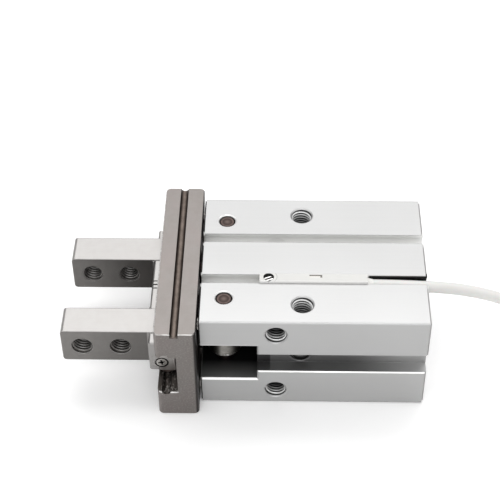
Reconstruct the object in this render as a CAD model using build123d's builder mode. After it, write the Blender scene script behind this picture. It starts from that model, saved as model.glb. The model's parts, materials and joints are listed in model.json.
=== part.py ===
from build123d import *
import math
import os

# Parallel gripper with two fingers, a 20 mm cylinder and a groove-mounted position sensor.
# +X runs from the finger tips to the rear face, +Y across the fingers, +Z up.
# The origin is under the middle of the gripper, on the surface that it lies on.

os.makedirs("parts", exist_ok=True)

# ---- driving dimensions, millimetres ----
HT = 27.6  # thickness of body and guide
ZC = HT / 2  # mid plane of the mechanism
BX = -10.0  # front face of the body
BL = 53.0  # body length
BW = 42.0  # body width
BXR = BX + BL  # rear face

GX0, GX1 = -20.0, -10.4  # guide rail, front and rear face
GW = 50.0  # guide rail length across the fingers
CH_Z = 5.9  # half height of the finger channel
CH_X = -15.1  # back wall of the finger channel
BALL_X, BALL_Z = -17.9, 5.7  # ball track centre
TRACK_R = 1.08
BALL_R = 0.79375  # 1/16 inch balls
BALLS = 9
BALL_PITCH = 1.65

TIP_X = -43.0  # finger tips
F_IN, F_OUT = 8.15, 16.15  # finger faces, closed
F_Z = 4.9  # half thickness of a finger
PLATE_X = -22.05  # front face of the finger base
BASE_IN, BASE_OUT = 0.2, 19.35
FINGER_TRAVEL = 5.0

PIV_X, PIV_Y = BX + 5.6, 13.1  # lever shafts
SHAFT_R = 2.0
SWING = 0.4  # rad, lever swing over the full travel
HALF = SWING / 2
ARM_OUT = FINGER_TRAVEL / 2 / math.sin(HALF)  # lever arm to the finger
STROKE = 3.44  # piston stroke
ARM_IN = STROKE / 2 / math.sin(HALF)
PIN_Y = 4.53
PIN_X = PIV_X + STROKE / 2  # cross pins, fingers closed

CAV = 13.35  # length of the lever chamber
CAV_Z = 5.6
GR_Z, GR_D = 2.83, 3.2  # side groove, half height and depth
SG_Y, SG_W, SG_LIP = 6.95, 2.9, 0.8  # sensor grooves
SG_R, SG_ZD = 2.1, 2.3
MX, MY = BX + 23.77, 15.1  # mounting threads, top and bottom
SX, SZ = BX + 17.7, 9.4  # mounting threads, sides
M5_R, M5_DRILL = 2.5, 2.1
BORE_R, ROD_R = 10.0, 4.0
WALL0, WALL1 = BX + 16.35, BX + 21.0  # rod wall
PORT_NEAR, PORT_FAR = BX + 23.4, BX + 42.6

CABLE_D = 2.7
CABLE_Z = 25.9


def done(piece, name):
    piece.part.label = name
    export_step(piece.part, f"parts/{name}.step")


# ---- body: extruded block, bored from the rear ----
with BuildPart() as housing:
    with BuildSketch(Plane.YZ.offset(BX)):
        with Locations((0, ZC)):
            RectangleRounded(BW, HT, 0.5)
        # sensor grooves, round with a narrow mouth, two on top and two below
        with Locations((SG_Y, HT - SG_ZD), (-SG_Y, HT - SG_ZD), (SG_Y, SG_ZD), (-SG_Y, SG_ZD)):
            Circle(SG_R, mode=Mode.SUBTRACT)
        with Locations((SG_Y, HT - 1.0), (-SG_Y, HT - 1.0), (SG_Y, 1.0), (-SG_Y, 1.0)):
            Rectangle(SG_W, 2.4, mode=Mode.SUBTRACT)
    extrude(amount=BL)
    # small bevel around both end faces
    for face_x, bevel, way in ((BXR, 0.35, -1), (BX, 0.25, 1)):
        with BuildSketch(Plane.YZ.offset(face_x)):
            with Locations((0, ZC)):
                Rectangle(BW + 4, HT + 4)
                RectangleRounded(BW - 2 * bevel, HT - 2 * bevel, 0.5 - bevel, mode=Mode.SUBTRACT)
        extrude(amount=way * bevel, taper=-45, mode=Mode.SUBTRACT)
    # side grooves, from the lever chamber to the rear face, with bevelled lips
    for side in (1, -1):
        with BuildSketch(Plane.YZ.offset(BX + CAV - 1)):
            with BuildLine():
                Polyline(
                    (side * (BW / 2 - GR_D), ZC - GR_Z),
                    (side * (BW / 2 - 0.26), ZC - GR_Z),
                    (side * (BW / 2 + 0.1), ZC - GR_Z - 0.36),
                    (side * (BW / 2 + 0.1), ZC + GR_Z + 0.36),
                    (side * (BW / 2 - 0.26), ZC + GR_Z),
                    (side * (BW / 2 - GR_D), ZC + GR_Z),
                    close=True,
                )
            make_face()
        extrude(amount=BL, mode=Mode.SUBTRACT)
    # lever chamber, open to the front and to both sides, with bevelled mouths
    with BuildSketch(Plane.XZ.offset(-BW / 2 - 1)):
        with Locations((BX + CAV / 2 - 1, ZC)):
            Rectangle(CAV + 2, 2 * CAV_Z)
    extrude(amount=BW + 2, mode=Mode.SUBTRACT)
    for side in (1, -1):
        with BuildSketch(Plane.XZ.offset(side * -(BW / 2 + 0.1))):
            with Locations((BX + CAV / 2 - 1, ZC)):
                Rectangle(CAV + 2 + 0.9, 2 * CAV_Z + 1.0)
        extrude(amount=side * 0.5, taper=45, mode=Mode.SUBTRACT)
    # pocket for the crosshead, rod hole, rod seal groove, cylinder bore
    with Locations(Plane(origin=(BX + CAV - 1, 0, ZC), z_dir=(1, 0, 0))):
        Cylinder(6.0, WALL0 - (BX + CAV - 1), align=(Align.CENTER, Align.CENTER, Align.MIN), mode=Mode.SUBTRACT)
        Cylinder(ROD_R + 0.06, 20, align=(Align.CENTER, Align.CENTER, Align.MIN), mode=Mode.SUBTRACT)
    with Locations(Plane(origin=(BX + 17.6, 0, ZC), z_dir=(1, 0, 0))):
        Cylinder(6.1, 2.2, align=(Align.CENTER, Align.CENTER, Align.MIN), mode=Mode.SUBTRACT)
    with Locations(Plane(origin=(WALL1, 0, ZC), z_dir=(1, 0, 0))):
        Cylinder(BORE_R, BL, align=(Align.CENTER, Align.CENTER, Align.MIN), mode=Mode.SUBTRACT)
    # snap ring groove and the wider mouth behind it
    with Locations(Plane(origin=(BX + 50.0, 0, ZC), z_dir=(1, 0, 0))):
        Cylinder(BORE_R + 0.6, 1.0, align=(Align.CENTER, Align.CENTER, Align.MIN), mode=Mode.SUBTRACT)
    with Locations(Plane(origin=(BX + 51.8, 0, ZC), z_dir=(1, 0, 0))):
        Cylinder(BORE_R + 0.5, 2.0, align=(Align.CENTER, Align.CENTER, Align.MIN), mode=Mode.SUBTRACT)
    # mounting threads, top and bottom
    for x, z, up in ((MX, HT, 1), (MX + 0.8, 0, -1)):
        with Locations(
            Plane(origin=(x, MY, z), z_dir=(0, 0, up)),
            Plane(origin=(x, -MY, z), z_dir=(0, 0, up)),
        ):
            CounterSinkHole(M5_R, M5_R + 0.3, depth=8.0, counter_sink_angle=90)
            CounterSinkHole(M5_DRILL, M5_DRILL + 0.01, depth=9.4, counter_sink_angle=90)
    # mounting threads, both sides, and the rear pair
    for side in (1, -1):
        x = SX + 0.4 + side * 0.4
        with Locations(
            Plane(origin=(x, side * BW / 2, ZC + SZ), z_dir=(0, side, 0)),
            Plane(origin=(x, side * BW / 2, ZC - SZ), z_dir=(0, side, 0)),
        ):
            CounterSinkHole(M5_R, M5_R + 0.3, depth=7.0, counter_sink_angle=90)
            CounterSinkHole(M5_DRILL, M5_DRILL + 0.01, depth=8.4, counter_sink_angle=90)
        with Locations(Plane(origin=(BXR, side * 14.8, ZC), z_dir=(1, 0, 0))):
            CounterSinkHole(M5_R, M5_R + 0.3, depth=6.5, counter_sink_angle=90)
    # air ports in the side grooves, each with a passage to its chamber
    for px, side in ((PORT_NEAR, -1), (PORT_FAR - 0.0, 1)):
        with Locations(Plane(origin=(px, side * (BW / 2 - GR_D), ZC), z_dir=(0, side, 0))):
            CounterSinkHole(M5_R, M5_R + 0.2, depth=4.3, counter_sink_angle=90)
            Hole(1.1, depth=9.0)
    # holes for the lever shafts, with bevelled mouths
    with Locations((PIV_X, PIV_Y, HT), (PIV_X, -PIV_Y, HT)):
        CounterSinkHole(SHAFT_R, SHAFT_R + 0.28, depth=HT, counter_sink_angle=90)
    with Locations(
        Plane(origin=(PIV_X, PIV_Y, 0), z_dir=(0, 0, -1)),
        Plane(origin=(PIV_X, -PIV_Y, 0), z_dir=(0, 0, -1)),
    ):
        CounterSinkHole(SHAFT_R, SHAFT_R + 0.28, depth=0.7, counter_sink_angle=90)
    # threads and dowel holes for the guide rail
    with Locations(Plane(origin=(BX, 0, ZC), x_dir=(0, 1, 0), z_dir=(-1, 0, 0))):
        with GridLocations(2 * 18.0, 2 * 10.1, 2, 2):
            Hole(1.5, depth=7.0)
        with GridLocations(0, 2 * 10.1, 1, 2):
            Hole(1.5, depth=4.0)
done(housing, "housing")

# ---- guide rail across the front, with the finger channel and its ball tracks ----
with BuildPart() as guide_rail:
    # bar with rounded upright edges and small bevels above and below
    with BuildSketch():
        with Locations(((GX0 + GX1) / 2, 0)):
            RectangleRounded(GX1 - GX0, GW, 1.2)
    extrude(amount=HT)
    chamfer(guide_rail.faces().sort_by(Axis.Z)[-1].edges() + guide_rail.faces().sort_by(Axis.Z)[0].edges(), length=0.2)
    # finger channel, ball tracks, and the round-bottomed line groove on the top face
    with BuildSketch(Plane.XZ.offset(-GW / 2 - 1)):
        with Locations(((GX0 + CH_X) / 2 - 0.5, ZC)):
            Rectangle(CH_X - GX0 + 1.0, 2 * CH_Z)
        with Locations((BALL_X, ZC + BALL_Z), (BALL_X, ZC - BALL_Z)):
            Circle(TRACK_R)
        with Locations((-15.35, HT + 0.05)):
            Circle(0.95)
    extrude(amount=GW + 2, mode=Mode.SUBTRACT)
    # locating pad that stands against the body
    with BuildSketch(Plane.YZ.offset(GX1)):
        with Locations((0, ZC)):
            Rectangle(27.0, 16.0)
    extrude(amount=BX - GX1)
    # slots for the lever arms
    with BuildSketch(Plane.YZ.offset(CH_X - 1)):
        with Locations((PIV_Y, ZC), (-PIV_Y, ZC)):
            RectangleRounded(9.8, 6.4, 1.5)
    extrude(amount=8, mode=Mode.SUBTRACT)
    # middle opening behind the channel, in front of the crosshead bolt
    with Locations(Plane(origin=(CH_X - 1, 0, ZC), z_dir=(1, 0, 0))):
        Cylinder(2.6, 8, align=(Align.CENTER, Align.CENTER, Align.MIN), mode=Mode.SUBTRACT)
    # counterbored screw holes and dowel holes
    with Locations(Plane(origin=(GX0, 0, ZC), x_dir=(0, 1, 0), z_dir=(-1, 0, 0))):
        with GridLocations(2 * 18.0, 2 * 10.1, 2, 2):
            CounterBoreHole(1.7, 2.85, 3.1)
    with Locations(Plane(origin=(BX, 0, ZC), x_dir=(0, 1, 0), z_dir=(1, 0, 0))):
        with GridLocations(0, 2 * 10.1, 1, 2):
            Hole(1.5, depth=4.8)
done(guide_rail, "guide_rail")

# ---- guide screws: socket head M3, and the two locating dowels ----
with BuildPart() as guide_screws:
    with Locations(Plane(origin=(GX0 + 0.1, 0, ZC), x_dir=(0, 1, 0), z_dir=(1, 0, 0))):
        with GridLocations(2 * 18.0, 2 * 10.1, 2, 2):
            Cylinder(2.75, 3.0, align=(Align.CENTER, Align.CENTER, Align.MIN))
            Cylinder(1.5, 16.4, align=(Align.CENTER, Align.CENTER, Align.MIN))
    with BuildSketch(Plane.YZ.offset(GX0 + 0.1)):
        with Locations((0, ZC)):
            with GridLocations(2 * 18.0, 2 * 10.1, 2, 2):
                RegularPolygon(1.44, 6)
    extrude(amount=1.6, mode=Mode.SUBTRACT)
done(guide_screws, "guide_screws")

with BuildPart() as guide_dowels:
    with Locations(Plane(origin=(BX - 4.6, 0, ZC), x_dir=(0, 1, 0), z_dir=(1, 0, 0))):
        with GridLocations(0, 2 * 10.1, 1, 2):
            Cylinder(1.5, 8.4, align=(Align.CENTER, Align.CENTER, Align.MIN))
done(guide_dowels, "guide_dowels")

# ---- lever shafts, pressed in from above ----
with BuildPart() as lever_shafts:
    with Locations((PIV_X, PIV_Y, 0.4), (PIV_X, -PIV_Y, 0.4)):
        Cylinder(SHAFT_R, HT - 0.8, align=(Align.CENTER, Align.CENTER, Align.MIN))
    chamfer(lever_shafts.edges().filter_by(GeomType.CIRCLE), length=0.3)
done(lever_shafts, "lever_shafts")

# ---- rod seal in the rod wall ----
with BuildPart() as rod_seal:
    with BuildSketch(Plane.XZ):
        with BuildLine():
            Polyline(
                (BX + 17.65, ZC + ROD_R + 0.07),
                (BX + 18.3, ZC + ROD_R + 0.07),
                (BX + 18.9, ZC + ROD_R + 0.6),
                (BX + 19.6, ZC + ROD_R + 0.12),
                (BX + 19.6, ZC + ROD_R + 0.7),
                (BX + 19.0, ZC + 5.1),
                (BX + 19.6, ZC + 5.6),
                (BX + 19.6, ZC + 6.1),
                (BX + 17.65, ZC + 6.1),
                close=True,
            )
        make_face()
    revolve(axis=Axis((0, 0, ZC), (1, 0, 0)))
done(rod_seal, "rod_seal")

# ---- rear end: bumper, cap, gasket, snap ring ----
with BuildPart() as bumper:
    with BuildSketch(Plane.YZ.offset(BX + 44.4)):
        with Locations((0, ZC)):
            Circle(8.6)
            Circle(5.0, mode=Mode.SUBTRACT)
    extrude(amount=1.2)
    chamfer(bumper.edges().filter_by(GeomType.CIRCLE).group_by(Axis.X)[0], length=0.25)
done(bumper, "bumper")

with BuildPart() as end_cap:
    with BuildSketch(Plane.YZ.offset(BX + 45.6)):
        with Locations((0, ZC)):
            Circle(BORE_R - 0.02)
    extrude(amount=4.4)
    with BuildSketch(Plane.YZ.offset(BX + 46.9)):
        with Locations((0, ZC)):
            Circle(BORE_R + 1)
            Circle(8.3, mode=Mode.SUBTRACT)
    extrude(amount=2.0, mode=Mode.SUBTRACT)
    with Locations(Plane(origin=(BX + 50.0, 0, ZC), z_dir=(1, 0, 0))):
        Cylinder(7.2, 0.8, align=(Align.CENTER, Align.CENTER, Align.MAX), mode=Mode.SUBTRACT)
        Hole(1.6, depth=3.4)
done(end_cap, "end_cap")

with BuildPart() as cap_gasket:
    with BuildSketch(Plane.YZ.offset(BX + 46.9)):
        with Locations((0, ZC)):
            Circle(BORE_R)
            Circle(8.3, mode=Mode.SUBTRACT)
    extrude(amount=2.0)
    fillet(cap_gasket.edges().filter_by(GeomType.CIRCLE), radius=0.6)
done(cap_gasket, "cap_gasket")

with BuildPart() as snap_ring:
    with BuildSketch(Plane.YZ.offset(BX + 50.0)):
        with Locations((0, ZC)):
            Circle(BORE_R + 0.6)
            Circle(8.9, mode=Mode.SUBTRACT)
            with PolarLocations(8.0, 2, start_angle=72, angular_range=36, rotate=True):
                Circle(1.5)
        with Locations((0, ZC + 9.0)):
            Rectangle(2.2, 6.0, mode=Mode.SUBTRACT)
        with Locations((0, ZC)):
            with PolarLocations(7.9, 2, start_angle=72, angular_range=36, rotate=True):
                Circle(0.55, mode=Mode.SUBTRACT)
    extrude(amount=1.0)
done(snap_ring, "snap_ring")

# ---- piston with its rod, seal and magnet, fingers closed ----
PF, PR = BX + 27.5, BX + 41.5  # piston faces
with BuildPart() as piston:
    with BuildSketch(Plane.XZ):
        with BuildLine():
            Polyline(
                (BX + 16.0, ZC),
                (BX + 16.0, ZC + ROD_R - 0.3),
                (BX + 16.3, ZC + ROD_R),
                (PF, ZC + ROD_R),
                (PF, ZC + 9.3),
                (PF + 0.4, ZC + 9.7),
                (PF + 2.0, ZC + 9.7),
                (PF + 2.0, ZC + 7.5),
                (PF + 4.7, ZC + 7.5),
                (PF + 4.7, ZC + 9.7),
                (PF + 6.5, ZC + 9.7),
                (PF + 6.5, ZC + 7.0),
                (PF + 11.0, ZC + 7.0),
                (PF + 11.0, ZC + 9.7),
                (PR - 0.4, ZC + 9.7),
                (PR, ZC + 9.3),
                (PR, ZC + 6.0),
                (PR - 2.5, ZC + 6.0),
                (PR - 2.5, ZC),
                close=True,
            )
        make_face()
    revolve(axis=Axis((0, 0, ZC), (1, 0, 0)))
    with Locations(Plane(origin=(BX + 16.0, 0, ZC), z_dir=(-1, 0, 0))):
        Hole(2.0, depth=10.0)
done(piston, "piston")

with BuildPart() as piston_seal:
    with BuildSketch(Plane.XZ):
        with BuildLine():
            Polyline(
                (PF + 2.1, ZC + 7.5),
                (PF + 4.6, ZC + 7.5),
                (PF + 4.6, ZC + 9.85),
                (PF + 3.9, ZC + 9.92),
                (PF + 3.35, ZC + 9.5),
                (PF + 2.8, ZC + 9.92),
                (PF + 2.1, ZC + 9.85),
                close=True,
            )
        make_face()
    revolve(axis=Axis((0, 0, ZC), (1, 0, 0)))
done(piston_seal, "piston_seal")

with BuildPart() as magnet_ring:
    with BuildSketch(Plane.YZ.offset(PF + 6.5)):
        with Locations((0, ZC)):
            Circle(9.5)
            Circle(7.0, mode=Mode.SUBTRACT)
    extrude(amount=4.5)
done(magnet_ring, "magnet_ring")

# ---- crosshead that drives both levers ----
with BuildPart() as crosshead:
    with BuildSketch(Plane.XY.offset(ZC - 4.9)):
        with Locations(((BX + 4.7 + BX + 13.1) / 2, 0)):
            RectangleRounded(8.4, 14.0, 1.2)
    extrude(amount=9.8)
    with BuildSketch(Plane.XZ.offset(-8)):
        with Locations((BX + 11.4 - 6.0, ZC)):
            Rectangle(12.0, 5.6)
    extrude(amount=16, mode=Mode.SUBTRACT)
    with Locations(Plane(origin=(BX + 13.1, 0, ZC), z_dir=(1, 0, 0))):
        Cylinder(5.0, 2.9, align=(Align.CENTER, Align.CENTER, Align.MIN))
    with Locations(Plane(origin=(BX + 11.4, 0, ZC), z_dir=(-1, 0, 0))):
        CounterSinkHole(2.0, 3.8, depth=6, counter_sink_angle=90)
    with Locations((PIN_X, PIN_Y, ZC + 4.9), (PIN_X, -PIN_Y, ZC + 4.9)):
        Hole(1.25, depth=9.8)
done(crosshead, "crosshead")

with BuildPart() as crosshead_bolt:
    with BuildSketch(Plane.XZ):
        with BuildLine():
            Polyline(
                (BX + 11.4, ZC),
                (BX + 11.4, ZC + 3.8),
                (BX + 13.2, ZC + 2.0),
                (BX + 25.4, ZC + 2.0),
                (BX + 25.4, ZC),
                close=True,
            )
        make_face()
    revolve(axis=Axis((0, 0, ZC), (1, 0, 0)))
    with BuildSketch(Plane.YZ.offset(BX + 11.4)):
        with Locations((0, ZC)):
            RegularPolygon(1.44, 6)
    extrude(amount=1.6, mode=Mode.SUBTRACT)
done(crosshead_bolt, "crosshead_bolt")

with BuildPart() as cross_pins:
    with Locations((PIN_X, PIN_Y, ZC - 4.8), (PIN_X, -PIN_Y, ZC - 4.8)):
        Cylinder(1.25, 9.6, align=(Align.CENTER, Align.CENTER, Align.MIN))
done(cross_pins, "cross_pins")

with BuildPart() as cross_rollers:
    with BuildSketch(Plane.XY.offset(ZC - 2.5)):
        with Locations((PIN_X, PIN_Y), (PIN_X, -PIN_Y)):
            Circle(1.7)
            Circle(1.27, mode=Mode.SUBTRACT)
    extrude(amount=5.0)
done(cross_rollers, "cross_rollers")

# ---- levers: long arm to the finger, forked arm to the crosshead ----
turn = math.cos(HALF), math.sin(HALF), 0
with BuildPart() as lever_far:
    with BuildSketch(Plane(origin=(PIV_X, PIV_Y, ZC - 1.9), x_dir=turn, z_dir=(0, 0, 1))):
        Circle(4.0)
        with Locations((-ARM_OUT / 2, 0)):
            Rectangle(ARM_OUT, 3.2)
        with Locations((-ARM_OUT, 0)):
            Circle(2.0)
        with Locations((0, -5.45)):
            RectangleRounded(6.6, 10.9, 1.2)
        with Locations((0, -8.1)):
            Circle(2.0, mode=Mode.SUBTRACT)
        with Locations((0, -10.1)):
            Rectangle(4.0, 4.0, mode=Mode.SUBTRACT)
        Circle(SHAFT_R + 0.06, mode=Mode.SUBTRACT)
    extrude(amount=3.8)
done(lever_far, "lever_far")
with BuildPart() as lever_near:
    mirror(lever_far.part, about=Plane.XZ)
done(lever_near, "lever_near")

# ---- fingers: stem, base plate and the block that runs in the channel ----
SCREW_X, SCREW_Z = -19.13, ZC + 1.9  # axis of the stop plate's screw, far finger
HEAD_R, SEAT_R, SEAT_D = 1.36, 1.6, 0.5  # its flat head and the seat that it is sunk in
PLATE_T = 0.8  # stop plate thickness
with BuildPart() as finger_far:
    with BuildSketch(Plane.XY.offset(ZC - F_Z)):
        with Locations(((TIP_X + PLATE_X) / 2 + 0.5, (F_IN + F_OUT) / 2)):
            Rectangle(PLATE_X - TIP_X + 1.0, F_OUT - F_IN)
    extrude(amount=2 * F_Z)
    # rounded tip, large radius in side view
    fillet(finger_far.edges().filter_by(Axis.Y).filter_by(lambda e: e.center().X < TIP_X + 0.1), radius=0.9)
    fillet(finger_far.faces().filter_by(Axis.Y).sort_by(Axis.Y)[-1].outer_wire().edges().filter_by(lambda e: e.center().X < PLATE_X), radius=0.3)
    fillet(finger_far.faces().filter_by(Axis.Y).sort_by(Axis.Y)[0].outer_wire().edges().filter_by(lambda e: e.center().X < PLATE_X), radius=0.3)
    # base plate in front of the guide
    with BuildSketch(Plane.XZ.offset(-BASE_IN)):
        with Locations(((PLATE_X + CH_X - 0.4) / 2, ZC)):
            RectangleRounded(CH_X - 0.4 - PLATE_X, 9.3, 0.6)
        with Locations(((-19.95 + CH_X - 0.4) / 2, ZC)):
            Rectangle(CH_X - 0.4 + 19.95, 11.0)
        with Locations((BALL_X, ZC + BALL_Z), (BALL_X, ZC - BALL_Z)):
            Circle(TRACK_R, mode=Mode.SUBTRACT)
    extrude(amount=-(BASE_OUT - BASE_IN))
    # seat for the stop plate, at the outer end of the block in the channel
    with BuildSketch(Plane.XZ.offset(-BASE_OUT)):
        with Locations(((-19.68 + CH_X) / 2, ZC)):
            Rectangle(CH_X + 19.68, 12.0)
    extrude(amount=PLATE_T, mode=Mode.SUBTRACT)
    # thicker inner part of the base, with a round inner corner at the stem
    with BuildSketch(Plane.XZ.offset(-BASE_IN)):
        with Locations((PLATE_X + 0.6, ZC)):
            RectangleRounded(2.0, 9.3, 0.6)
    extrude(amount=-(F_IN + 0.2 - BASE_IN))
    with BuildSketch(Plane.XY.offset(ZC - 4.6)):
        with Locations((PLATE_X - 0.4 - 0.35, F_IN - 0.35)):
            Rectangle(0.7, 0.7)
        with Locations((PLATE_X - 0.4 - 0.7, F_IN - 0.7)):
            Circle(0.7, mode=Mode.SUBTRACT)
    extrude(amount=9.2)
    # closed inner end of the ball tracks
    with BuildSketch(Plane.XZ.offset(-BASE_IN)):
        with Locations((BALL_X, ZC)):
            Rectangle(2.3, 11.0)
    extrude(amount=-0.9)
    # fine parting groove near the inner end, front plate only
    with BuildSketch(Plane.XZ.offset(-BASE_IN - 0.85)):
        with Locations((PLATE_X + 0.7, ZC)):
            Rectangle(2.8, 12.0)
            with Locations((0.6, 0)):
                Rectangle(2.4, 8.5, mode=Mode.SUBTRACT)
    extrude(amount=-0.3, mode=Mode.SUBTRACT)
    # slot for the lever's round end
    with BuildSketch(Plane.XY.offset(ZC - 2.8)):
        with Locations((CH_X - 2.3, PIV_Y - FINGER_TRAVEL / 2)):
            Rectangle(4.0, 4.6)
    extrude(amount=5.6, mode=Mode.SUBTRACT)
    # threads for the gripping tools
    with Locations(
        Plane(origin=(BX - 28.1, F_OUT, ZC), z_dir=(0, 1, 0)),
        Plane(origin=(BX - 19.0, F_OUT, ZC), z_dir=(0, 1, 0)),
    ):
        CounterSinkHole(M5_R, M5_R + 0.12, depth=F_OUT - F_IN, counter_sink_angle=90)
    with Locations(
        Plane(origin=(BX - 28.1, F_IN, ZC), z_dir=(0, -1, 0)),
        Plane(origin=(BX - 19.0, F_IN, ZC), z_dir=(0, -1, 0)),
    ):
        CounterSinkHole(M5_R, M5_R + 0.12, depth=2, counter_sink_angle=90)
    # hole for the stop plate's screw
    with Locations(Plane(origin=(SCREW_X, BASE_OUT, SCREW_Z), z_dir=(0, 1, 0))):
        CounterBoreHole(0.8, SEAT_R, SEAT_D, depth=5.0)
    # bevel at the outer end of the base
    chamfer(
        finger_far.edges()
        .filter_by(lambda e: abs(e.center().Y - BASE_OUT) < 0.01 and e.center().X < PLATE_X + 0.3),
        length=0.3,
    )
done(finger_far, "finger_far")
# the near finger is the same piece, turned over about the middle line
with BuildPart() as finger_near:
    add(finger_far.part.rotate(Axis((0, 0, ZC), (1, 0, 0)), 180))
done(finger_near, "finger_near")

# ---- ball rows, two for each finger ----
with BuildPart() as balls_far:
    with Locations(*[(BALL_X, 4.5 + BALL_PITCH * i, ZC + s * BALL_Z) for i in range(BALLS) for s in (1, -1)]):
        Sphere(BALL_R)
done(balls_far, "balls_far")
with BuildPart() as balls_near:
    mirror(balls_far.part, about=Plane.XZ)
done(balls_near, "balls_near")

# ---- stop plates that close the ball tracks, and their cross-recess screws ----
with BuildPart() as stop_plate_far:
    with BuildSketch(Plane.XZ.offset(-(BASE_OUT - PLATE_T))):
        with Locations((-17.85, ZC)):
            SlotOverall(10.96, 3.5, rotation=90)
    extrude(amount=-(PLATE_T - 0.2))
    with BuildSketch(Plane.XZ.offset(-(BASE_OUT - 0.3))):
        with Locations(((-19.6 - 16.05) / 2, ZC)):
            RectangleRounded(19.6 - 16.05, 9.3, 0.5)
    extrude(amount=-0.3)
    with Locations(Plane(origin=(SCREW_X, BASE_OUT, SCREW_Z), z_dir=(0, 1, 0))):
        CounterBoreHole(0.85, SEAT_R, SEAT_D, depth=2.0)
done(stop_plate_far, "stop_plate_far")
with BuildPart() as stop_plate_near:
    add(stop_plate_far.part.rotate(Axis((0, 0, ZC), (1, 0, 0)), 180))
done(stop_plate_near, "stop_plate_near")

with BuildPart() as stop_screw_far:
    with Locations(Plane(origin=(SCREW_X, BASE_OUT - 4.8, SCREW_Z), z_dir=(0, 1, 0))):
        Cylinder(0.8, 4.5, align=(Align.CENTER, Align.CENTER, Align.MIN))
    with Locations(Plane(origin=(SCREW_X, BASE_OUT - SEAT_D, SCREW_Z), z_dir=(0, 1, 0))):
        Cylinder(HEAD_R, SEAT_D + 0.02, align=(Align.CENTER, Align.CENTER, Align.MIN))
    chamfer(stop_screw_far.faces().sort_by(Axis.Y)[-1].edges(), length=0.12)
    with BuildSketch(Plane.XZ.offset(-(BASE_OUT + 0.1))):
        with Locations((SCREW_X, SCREW_Z)):
            Rectangle(1.7, 0.42, rotation=-12)
            Rectangle(0.42, 1.7, rotation=-12)
            Rectangle(0.75, 0.75, rotation=-12)
    extrude(amount=0.55, taper=8, mode=Mode.SUBTRACT)
done(stop_screw_far, "stop_screw_far")
with BuildPart() as stop_screw_near:
    add(stop_screw_far.part.rotate(Axis((0, 0, ZC), (1, 0, 0)), 180))
done(stop_screw_near, "stop_screw_near")

# ---- position sensor in the near top groove ----
SEN0, SEN1 = BX + 13.75, BX + 39.0
SEN_TOP = ZC + 14.5
with BuildPart() as sensor_body:
    with BuildSketch(Plane.YZ.offset(SEN0)):
        with Locations((-SG_Y, HT - SG_ZD)):
            Circle(1.95)
        with Locations((-SG_Y, (HT - SG_ZD + SEN_TOP) / 2)):
            Rectangle(2.7, SEN_TOP - HT + SG_ZD)
    extrude(amount=SEN1 - SEN0)
    chamfer(
        sensor_body.edges().filter_by(Axis.X).filter_by(lambda e: abs(e.center().Z - SEN_TOP) < 0.01),
        length=0.2,
    )
    # tapered cable outlet
    with BuildSketch(Plane.YZ.offset(SEN1)):
        with Locations((-SG_Y, CABLE_Z - 0.1)):
            RectangleRounded(2.6, 3.4, 0.9)
    with BuildSketch(Plane.YZ.offset(SEN1 + 1.4)):
        with Locations((-SG_Y, CABLE_Z)):
            RectangleRounded(2.74, 2.74, 1.36)
    loft()
    # well for the clamping screw
    with Locations((BX + 15.9, -SG_Y, SEN_TOP)):
        Hole(1.25, depth=6.0)
    # seat for the indicator lens
    with BuildSketch(Plane.XY.offset(SEN_TOP)):
        with Locations((BX + 26.9, -SG_Y + 0.35)):
            Rectangle(3.0, 0.9)
    extrude(amount=-0.8, mode=Mode.SUBTRACT)
done(sensor_body, "sensor_body")

with BuildPart() as sensor_screw:
    with Locations((BX + 15.9, -SG_Y, SEN_TOP - 0.55)):
        Cylinder(1.25, 3.9, align=(Align.CENTER, Align.CENTER, Align.MAX))
    chamfer(sensor_screw.edges().filter_by(GeomType.CIRCLE), length=0.12)
    with BuildSketch(Plane.XY.offset(SEN_TOP - 0.55)):
        with Locations((BX + 15.9, -SG_Y)):
            Rectangle(2.7, 0.5, rotation=24)
    extrude(amount=-0.7, mode=Mode.SUBTRACT)
done(sensor_screw, "sensor_screw")

with BuildPart() as sensor_lens:
    with BuildSketch(Plane.XY.offset(SEN_TOP - 0.8)):
        with Locations((BX + 26.9, -SG_Y + 0.35)):
            Rectangle(3.0, 0.9)
    extrude(amount=0.78)
done(sensor_lens, "sensor_lens")

# ---- sensor lead: free stretch, coil and tail ----
COIL_C = (98.5, -SG_Y + 17.55)
ROUTE = [
    (BX + 40.4, -SG_Y, CABLE_Z),
    (44.0, -SG_Y, 25.75),
    (56.5, -SG_Y, 23.7),
    (67.5, -SG_Y, 18.6),
    (76.3, -SG_Y, 8.9),
    (83.8, -SG_Y, 2.6),
    (93.0, -SG_Y, 1.4),
]
TAIL = [(104.0, -7.5, 6.5), (109.6, -9.2, 5.4), (115.0, -11.2, 5.0)]


def tube(points, name):
    pts = [Vector(*p) for p in points]
    runs = [(b - a).length for a, b in zip(pts, pts[1:])]
    radii = []
    for i in range(1, len(pts) - 1):
        angle = (pts[i] - pts[i - 1]).get_angle(pts[i + 1] - pts[i])
        radii.append(0.45 * min(runs[i - 1], runs[i]) / math.tan(math.radians(angle) / 2))
    print(name, "radii", [round(r, 1) for r in radii])
    with BuildPart() as piece:
        with BuildLine() as path:
            FilletPolyline(*pts, radius=radii)
        with BuildSketch(Plane(origin=pts[0], z_dir=pts[1] - pts[0])):
            Circle(CABLE_D / 2)
        sweep(path=path.line)
    length = sum(e.length for e in path.edges())
    print(name, "length", round(length, 2), "volume ratio", round(piece.part.volume / (length * math.pi * CABLE_D**2 / 4), 4))
    done(piece, name)


tube(ROUTE, "sensor_cable")
tube(TAIL, "cable_tail")

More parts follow.
